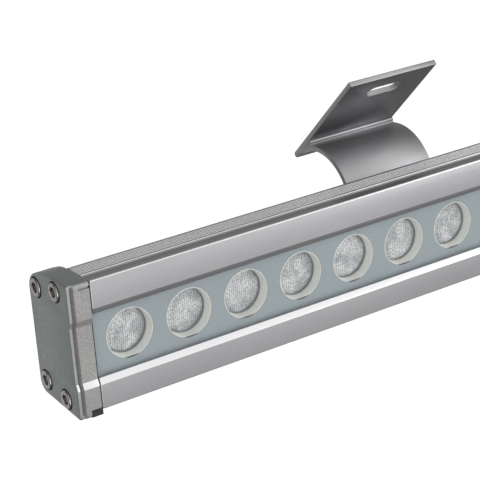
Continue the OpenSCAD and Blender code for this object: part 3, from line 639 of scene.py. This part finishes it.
# Cutters: how far they stand out in front, and where they end behind the cap
OVER, BEHIND = -1, 11
COUNTERBORE_R, COUNTERBORE_D, MOUTH_FLARE, MOUTH_D = 4.3, 4.2, 0.12, 0.2
# (y0, y1, z0, z1, x0) of the slit under the top edge, the notch below and the hollow inside
CAP_BOXES = {"slit": (OVER, 0.8, 50.8, 51.9, 4.6), "notch": (OVER, 4.05, -4, 1.15, 4.85),
             "hollow": (5.1, CHAMBER_Y, CHAMBER_LOW, CHAMBER_HIGH, 4.6)}
GLAND_Y, GLAND_R = 11.35, 6.05
# Step outwards that shows which way each point of the outline faces
PROBE = -0.1
CAP_ANGLE = 28
# The bevel with the painted highlight, a much lighter copy of the cast metal, lies between these heights and faces
# forwards and up. The smooth outer face is this deep
HIGHLIGHT_LOW, HIGHLIGHT_HIGH, FORWARDS, UPWARDS = 9, 14, -0.75, 0.2
SMOOTH_DEPTH, OUTWARDS, CROWN_UP = 1.2, 0.3, 0.6

HEAD_PROUD, HEAD_R, HEAD_H, HEAD_UNDER = 0.8, 3.75, 5.0, 0.2
SHANK_R, SHANK_L, SHANK_TIP = 2.5, 20, 0.6
KEY_R, KEY_D, KEY_CHAMFER, KEY_FLARE = 2.3, 2.5, 0.25, 1.12
# (depth, how far inside the head's radius) of the head's rounded edge
HEAD_EDGE = [(0, 0.75), (0.06, 0.45), (0.25, 0.16), (0.5, 0)]
SCREW_SEGMENTS, CENTRE = 48, 0.02


def cap_loop():
    """Outline of an end cap: square front with a recessed band, crowned top, underside rising to the back."""
    slope = math.atan2(CAP_RISE, CAP_D)
    tip = math.degrees(slope)

    def under(y, r):
        """Height of the middle of a circle of radius r at depth y that touches the underside."""
        return CAP_RISE * y / CAP_D - CAP_DROP + r / math.cos(slope)
    a, b = CAP_D - CAP_BACK_R - CROWN_Y, -CROWN_DROP
    crown = (CAP_BACK_R ** 2 - a ** 2 - b ** 2) / (2 * (b + CAP_BACK_R))
    turn = math.degrees(math.atan2(b + crown, a))
    low_y = CAP_D - CAP_LOW_R
    loop = arc(CAP_FRONT_R, under(CAP_FRONT_R, CAP_FRONT_R), CAP_FRONT_R, 180, 270 + tip, 6)
    loop += arc(low_y, under(low_y, CAP_LOW_R), CAP_LOW_R, 270 + tip, 360, 12)
    loop += arc(CAP_D - CAP_BACK_R, BODY_H - CROWN_DROP, CAP_BACK_R, 0, turn, 8)
    loop += arc(CROWN_Y, BODY_H - crown, crown, turn, 90, 14)
    loop += arc(CAP_FRONT_R, BODY_H - CAP_FRONT_R, CAP_FRONT_R, 90, 180, 6)
    front = [(0, FRONT_HIGH), (0, RECESS_TOP + BEVEL_H), (BEVEL_D, RECESS_TOP), (BEVEL_D, LOW_BAND + BEVEL_H),
             (0, LOW_BAND), (0, FRONT_LOW)]
    return with_bosses(loop + fillet(front, lambda i, _: RECESS_SOFT[i], 3))


def with_bosses(loop):
    """The outline swollen round the two rear screws."""
    dense = []
    for p, q in edges(loop):
        near = max(p[0], q[0]) > CROWN_Y and max(p[1], q[1]) > BOSS_FROM_Z
        steps = max(1, math.ceil(math.dist(p, q) / BOSS_STEP)) if near else 1
        dense += [(p[0] + (q[0] - p[0]) * k / steps, p[1] + (q[1] - p[1]) * k / steps) for k in range(steps)]
    out = []
    for y, z in dense:
        for cy, cz in SCREWS[2:]:
            away = math.hypot(y - cy, z - cz)
            if away < BOSS_R:
                y, z = cy + (y - cy) * BOSS_R / away, cz + (z - cz) * BOSS_R / away
        out.append((y, z))
    return out


def cap_pick(face, deepest):
    """Material of a face of the cap: 0 rough skin, 1 smooth outer face or crown, 2 painted highlight on the bevel of
    the recess.
    """
    normal, z = face.normal, face.center.z
    if normal.y < FORWARDS and normal.z > UPWARDS and HIGHLIGHT_LOW < z < HIGHLIGHT_HIGH:
        return 2
    outer = deepest < SMOOTH_DEPTH and abs(normal.x) > OUTWARDS
    return 1 if outer or normal.z > CROWN_UP else 0


def end_cap(hand):
    """Cast end cap: lofted rim, counterbores, slit and the notch below. The right one takes the gland."""
    loop = clean(cap_loop())
    ahead = np.clip((inset(loop, PROBE) - np.array(loop))[:, 0] / PROBE, 0, 1)
    # 1 where the outline faces forwards, and smoothly down to 0 where it faces up, down or back
    front = ahead * ahead * (3 - 2 * ahead)
    cap = solid("cap", *bar(loop, [(x, bead * front + rim * (1 - front)) for x, bead, rim in RIM]))
    mouth_r = COUNTERBORE_R + MOUTH_FLARE
    counterbore = [(OVER, mouth_r), (0, mouth_r), (MOUTH_D, COUNTERBORE_R), (COUNTERBORE_D, COUNTERBORE_R)]
    for y, z in SCREWS:
        cut(cap, "bore", lathe_x(counterbore, y, z))
        cut(cap, "hole", lathe_x([(OVER, BORE_R), (BEHIND, BORE_R)], y, z, 32))
    for name, (y0, y1, z0, z1, x0) in CAP_BOXES.items():
        cut(cap, name, bar([(y0, z0), (y1, z0), (y1, z1), (y0, z1)], [(x0, 0), (BEHIND, 0)]))
    if hand == "right":
        cut(cap, "gland", lathe_x([(OVER, GLAND_R), (BEHIND, GLAND_R)], GLAND_Y, LENS_Z))
    verts = cap.data.vertices
    faces = [tuple(p.vertices) for p in cap.data.polygons]
    picks = [cap_pick(p, max(verts[i].co.x for i in p.vertices)) for p in cap.data.polygons]
    co = [((v.co.x - LAMP_HALF) * -SIDES[hand], v.co.y, v.co.z) for v in verts]
    bpy.data.objects.remove(cap)
    piece("end_cap_" + hand + "_skin", co, faces, ["cast_rough", "cast_smooth", "cast_painted_highlight"], "lamp",
          ["end_cap_" + hand], angle=CAP_ANGLE, picks=picks)


def hex_ring(r, count):
    """Points of a hexagon with corner radius r, one at each of count equal turns."""
    out = []
    for k in range(count):
        t = 2 * math.pi * k / count
        q = r * math.cos(math.pi / 6) / math.cos(t % (math.pi / 3) - math.pi / 6)
        out.append((q * math.cos(t), q * math.sin(t)))
    return out


def socket_head(y, z):
    """Socket-head screw along x, from the floor of its key socket over the head to the shank's tip."""
    def grown(share):
        return [(a * share, b * share) for a, b in hex_ring(KEY_R, SCREW_SEGMENTS)]
    flat = [(KEY_D, grown(CENTRE)), (KEY_D, grown(1)), (KEY_CHAMFER, grown(1)), (0, grown(KEY_FLARE))]
    end = HEAD_H + SHANK_L
    profile = [(x, HEAD_R - less) for x, less in HEAD_EDGE]
    profile += [(HEAD_H - HEAD_UNDER, HEAD_R), (HEAD_H, HEAD_R - HEAD_UNDER), (HEAD_H, SHANK_R),
                (end - SHANK_TIP, SHANK_R), (end, SHANK_R - SHANK_TIP), (end, CENTRE)]
    flat += [(x, circle(0, 0, r, SCREW_SEGMENTS)) for x, r in profile]
    return stack([[(x - HEAD_PROUD, y + a, z + b) for a, b in ring] for x, ring in flat])


def cap_screws(hand):
    verts, faces = many([socket_head(y, z) for y, z in SCREWS])
    verts = [((x - LAMP_HALF) * -SIDES[hand], y, z) for x, y, z in verts]
    piece("end_cap_screws_" + hand + "_heads", verts, faces, ["stainless"], "lamp",
          ["end_cap_screws_" + hand])


# ---------- lenses and their cups ----------

LENS_Y = 8.1
FIRST_LED, LED_PITCH, LED_COUNT = -473.5, 27.0571, 36
LEDS = [FIRST_LED + i * LED_PITCH for i in range(LED_COUNT)]
FACE_RINGS, FACE_R, FACE_SUNK, DOME, PEAK = 20, 9.1, 0.2, 0.7, 0.2
LENS_ANGLE, CUP_ANGLE = 12, 40
# (r, y) from the face over the thin rim and the flange, down the cone and into the well for the lamp
LENS_BODY = [(9.14, -0.7), (9.18, -0.9), (9.24, -0.95), (9.31, -0.95), (9.35, -0.9), (9.35, 1.25), (7.7, 1.25),
             (3.2, 6.1), (2.4, 6.1), (2.4, 3.1)]
# (r, y) of a cup, and how far below the lens's axis each of its first points may lie
CUP_BODY = [(10.0, 3.5), (10.05, 3.42), (10.32, 3.42), (10.4, 3.5), (10.4, 9.4), (6, 14.5), (6, 15.7), (4.5, 15.7),
            (4.5, 14.5), (7.9, 9.42), (9.45, 9.42), (9.45, 8.2), (9.5, 8.0)]
CUP_FLATS = [9.5, 9.5, 9.7, 9.75, 9.75]
CUP_SEGMENTS = 96


def lens():
    """One lens: a slightly domed face of fine peaks, a thin raised rim and a cone behind it."""
    verts, faces = [(0, -DOME, 0)], []
    starts = [0]
    for k in range(1, FACE_RINGS + 1):
        starts.append(len(verts))
        r = FACE_R * k / FACE_RINGS
        dome = -DOME * (1 - (r / FACE_R) ** 2)
        for j, (x, z) in enumerate(circle(0, 0, r, 6 * k)):
            peak = -PEAK if j % 2 == 0 and k % 2 == 0 and k < FACE_RINGS else 0.0
            verts.append((x, FACE_SUNK + peak + dome, z))
    faces += [(0, 1 + j, 1 + (j + 1) % 6) for j in range(6)]
    for k in range(2, FACE_RINGS + 1):
        inner, outer = starts[k - 1], starts[k]
        ni, no = 6 * (k - 1), 6 * k
        for side in range(6):
            for j in range(k):
                o0, o1 = outer + (side * k + j) % no, outer + (side * k + j + 1) % no
                i0 = inner + (side * (k - 1) + j) % ni
                faces.append((i0, o0, o1))
                if j < k - 1:
                    i1 = inner + (side * (k - 1) + j + 1) % ni
                    faces.append((i0, o1, i1))
    last = starts[FACE_RINGS]
    n = 6 * FACE_RINGS
    face_count = len(faces)
    for r, y in LENS_BODY:
        start = len(verts)
        verts += [(a, y, b) for a, b in circle(0, 0, r, n)]
        faces += strip(start, last, n)
        last = start
    faces.append(tuple(range(last, last + n)))
    # The rim, flange and cone take the dark material, painted shade
    return verts, faces, [0] * face_count + [1] * (len(faces) - face_count)


def lenses():
    v, f, picks = lens()
    verts, faces = many([([(x + at, y + LENS_Y, z + LENS_Z) for x, y, z in v], f) for at in LEDS])
    piece("lenses_textured", verts, faces, ["lens", "flange"], "lamp", ["lenses"], angle=LENS_ANGLE,
          picks=picks * len(LEDS))


def holders():
    """White cups, straight along their lower edge."""
    def squeeze(i, x, z):
        return x, max(-CUP_FLATS[i], z) if i < len(CUP_FLATS) else z
    v, f = turned(CUP_BODY, CUP_SEGMENTS, (0, LENS_Z), squeeze)
    verts, faces = many([([(x + at, y, z) for x, y, z in v], f) for at in LEDS])
    piece("lens_holders_cups", verts, faces, ["holder"], "lamp", ["lens_holders"], angle=CUP_ANGLE)


# ---------- brackets ----------

BRACKET_X, BRACKET_HALF, BRACKET_T, PLATE_TOP = 320, 23.5, 2.4, 11.3
PLATE_FILLET, BRACKET_ANGLE = 0.4, 30
BRACKET_ENDS = [(0, 0.3), (0.1, 0.09), (0.3, 0)]
# The arm: part of a circle about (ARM_Y, ARM_Z) that ends in a barrel about the pivot
ARM_Y, ARM_Z, ARM_R, ARM_END = -24.4, -48.1, 24.0, 134
BARREL_R, BARREL_FROM, BARREL_TO = 5, 126.87, 456.9
# Bead over the foot, half a radius in front of the plate, how far above its middle it meets the plate,
# and the round tip at the foot's end
BEAD_R, BEAD_Z, BEAD_RISE = 0.9, -34.5, 0.779
TIP_D, TIP_H, TIP_DROP = 1.4, 1.23, 0.05
# Long hole in the plate: half its straight length, its radius and its softened edge
SLOT_REACH, SLOT_R, SLOT_EDGE = 5.7, 3.3, 0.3
SLOT_OUT_FRONT, SLOT_OUT_BACK = -4, 2
# A darker copy of the bracket's metal, painted shade, is on the plate's front, this far above the bead's middle
PAINTED_SHADE_FROM, FACING_FRONT = 0.5, -0.9


def swing(y, z):
    """A point of the lamp's frame in the shared frame, in millimetres."""
    p = LAMP @ Vector((0, y, z))
    return p.y / MM, p.z / MM


def bracket_loop():
    """Outline of a bracket in the shared frame: plate, bead, arm, barrel and back along the arm to the tip."""
    front = -BRACKET_T
    plate = fillet([(front, 0), (front, PLATE_TOP), (0, PLATE_TOP), (0, 0)],
                   lambda i, _: PLATE_FILLET if i in (1, 2) else 0, 4)[1:-1]
    meets = math.degrees(math.atan2(BEAD_RISE, BEAD_R / 2))
    path = arc(front - BEAD_R / 2, BEAD_Z, BEAD_R, meets, 180, 10)
    foot = math.degrees(math.asin((BEAD_Z - ARM_Z) / ARM_R))
    path += arc(ARM_Y, ARM_Z, ARM_R, foot, ARM_END, 48)
    path += [swing(y, z) for y, z in arc(*PIVOT, BARREL_R, BARREL_FROM, BARREL_TO, 48)]
    path += arc(ARM_Y, ARM_Z, ARM_R - BRACKET_T, ARM_END, 0, 48)
    path += [(-TIP_D + TIP_D * math.cos(math.radians(a)), ARM_Z - TIP_DROP + TIP_H * math.sin(math.radians(a)))
             for a in range(190, 360, 15)]
    return plate[::-1] + path + [(0, ARM_Z)]


def slot_cutter():
    """The plate's long hole, wider at both faces of the plate."""
    half = [(SLOT_REACH + SLOT_R * math.cos(math.radians(a)), SLOT_R * math.sin(math.radians(a)))
            for a in range(-90, 91, 9)]
    outline = half + [(-x, -z) for x, z in half]
    rings = []
    for y, grow in ((SLOT_OUT_FRONT, SLOT_EDGE), (-BRACKET_T, SLOT_EDGE), (SLOT_EDGE - BRACKET_T, 0), (-SLOT_EDGE, 0),
                    (0, SLOT_EDGE), (SLOT_OUT_BACK, SLOT_EDGE)):
        share = grow / SLOT_R
        rings.append([(x + share * (x - math.copysign(min(abs(x), SLOT_REACH), x)), y, z * (1 + share))
                      for x, z in outline])
    return stack(rings)


def bracket(hand):
    name = "bracket_" + hand
    bore = [swing(y, z) for y, z in circle(*PIVOT, BORE_R, 32)]
    work = solid("bracket", *bar(bracket_loop(), softened(BRACKET_HALF, BRACKET_ENDS), [bore]))
    cut(work, "slot", slot_cutter())
    verts = [(v.co.x + SIDES[hand] * BRACKET_X, v.co.y, v.co.z) for v in work.data.vertices]
    faces = [tuple(p.vertices) for p in work.data.polygons]
    # Front faces of the plate take the darker copy, painted shade
    picks = [1 if p.normal.y < FACING_FRONT and p.center.z > BEAD_Z + PAINTED_SHADE_FROM else 0 for p in work.data.polygons]
    bpy.data.objects.remove(work)
    piece(name + "_arm", verts, faces, ["bracket", "plate"], name, [name], place=WALL,
          angle=BRACKET_ANGLE, picks=picks)


# ---------- carried-over nodes ----------

def dress():
    """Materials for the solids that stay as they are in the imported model."""
    skins = {"front_glass": "glass", "glass_seals": "rubber", "mask_plate": "mask", "led_packages": "amber",
             "led_boards": "board", "thermal_pads": "pad", "board_screws": "stainless",
             "current_regulators": "chip", "board_connectors": "holder", "input_terminal": "holder",
             "gland_body": "gland", "gland_o_ring": "rubber", "gland_seal": "rubber", "gland_nut": "gland"}
    for hand in SIDES:
        skins.update({"end_gasket_" + hand: "rubber", "pivot_shoe_" + hand: "anodised",
                      "shoe_set_screws_" + hand: "stainless", "pivot_bolt_" + hand: "stainless",
                      "pivot_washers_" + hand: "stainless", "pivot_nut_" + hand: "stainless"})
    for name, key in skins.items():
        mesh = NODES[name].data
        if not mesh.materials:
            mesh.materials.append(MATERIALS[key])
        for i in range(len(mesh.materials)):
            mesh.materials[i] = MATERIALS[key]


# ---------- stage ----------

# The studio's light: its axis, and its level from straight against that axis (0) to along it (1)
SKY_AXIS = (0.05, -0.45, 0.89)
SKY_LEVELS = [(0.0, 0.55), (0.2, 0.24), (0.4, 0.12), (0.55, 0.22), (0.7, 0.55), (0.85, 0.78), (1.0, 1.2)]
# The floor: a round disc far below
FLOOR_X, FLOOR_Y, FLOOR_Z, FLOOR_R, FLOOR_SEGMENTS = 0.91, 0.67, -2.0, 0.9, 96
FLOOR_TONE, FLOOR_GLOW = 0.30, 0.85
SEEN_BY = ("Is Camera Ray", "Is Glossy Ray", "Is Transmission Ray")
# (name, place, aim, size, watts)
LIGHTS = [("key", (0.7, -0.57, 1.09), (-0.25, -0.05, -0.03), (1.5, 0.35), 5),
          ("edges", (0.7, 0.4, 1.12), (-0.25, -0.05, -0.03), (1.5, 0.35), 2),
          ("fill", (-1.3, -0.9, 0.3), (-0.3, -0.05, -0.05), (0.8, 0.8), 2)]


def studio():
    """Grey surroundings, lighter overhead and in front."""
    world = bpy.data.worlds.new("studio")
    SCENE.world = world
    world.use_nodes = True
    t = Tree(world.node_tree)
    coord = t.add("ShaderNodeTexCoord")
    along = t.add("ShaderNodeVectorMath", operation="DOT_PRODUCT")
    along.inputs[1].default_value = Vector(SKY_AXIS).normalized()
    t.link(coord, "Generated", along, 0)
    level = t.ramp(t.spread(along, "Value", 0, 1, a=-1, b=1), 0, [(at, [v] * 3) for at, v in SKY_LEVELS])
    back = t.add("ShaderNodeBackground")
    back.inputs["Strength"].default_value = 1.0
    t.link(level, "Color", back, "Color")
    t.link(back, 0, t.add("ShaderNodeOutputWorld"), "Surface")


def floor_material():
    """Pale floor that glows where it is seen directly, mirrored or through glass, and lights nothing else."""
    mat = bpy.data.materials.new("floor_pale")
    mat.use_nodes = True
    t = Tree(mat.node_tree)
    path = t.add("ShaderNodeLightPath")
    direct_or_mirrored = t.add("ShaderNodeMath", operation="MAXIMUM")
    seen = t.add("ShaderNodeMath", operation="MAXIMUM")
    t.link(path, SEEN_BY[0], direct_or_mirrored, 0)
    t.link(path, SEEN_BY[1], direct_or_mirrored, 1)
    t.link(direct_or_mirrored, 0, seen, 0)
    t.link(path, SEEN_BY[2], seen, 1)
    level = t.add("ShaderNodeMath", operation="MULTIPLY")
    level.inputs[1].default_value = FLOOR_GLOW
    t.link(seen, 0, level, 0)
    glow = t.add("ShaderNodeEmission")
    t.link(level, 0, glow, "Strength")
    diffuse = t.add("ShaderNodeBsdfDiffuse")
    diffuse.inputs["Color"].default_value = (FLOOR_TONE, FLOOR_TONE, FLOOR_TONE, 1)
    both = t.add("ShaderNodeAddShader")
    t.link(diffuse, 0, both, 0)
    t.link(glow, 0, both, 1)
    t.link(both, 0, t.add("ShaderNodeOutputMaterial"), "Surface")
    return mat


def add_floor():
    mesh = bpy.data.meshes.new("floor")
    verts = [(x, y, FLOOR_Z) for x, y in circle(FLOOR_X, FLOOR_Y, FLOOR_R, FLOOR_SEGMENTS)]
    mesh.from_pydata(verts, [], [tuple(range(FLOOR_SEGMENTS))])
    mesh.materials.append(floor_material())
    floor = bpy.data.objects.new("floor", mesh)
    SCENE.collection.objects.link(floor)


def lights():
    for name, place, aim, size, power in LIGHTS:
        data = bpy.data.lights.new(name, "AREA")
        data.shape = "RECTANGLE"
        data.size, data.size_y = size
        data.energy = power
        obj = bpy.data.objects.new(name, data)
        SCENE.collection.objects.link(obj)
        way = Vector(aim) - Vector(place)
        obj.matrix_world = Matrix.Translation(place) @ way.to_track_quat("-Z", "Y").to_matrix().to_4x4()


add_camera()
housing()
for which in SIDES:
    end_cap(which)
    cap_screws(which)
    bracket(which)
lenses()
holders()
dress()
studio()
add_floor()
lights()
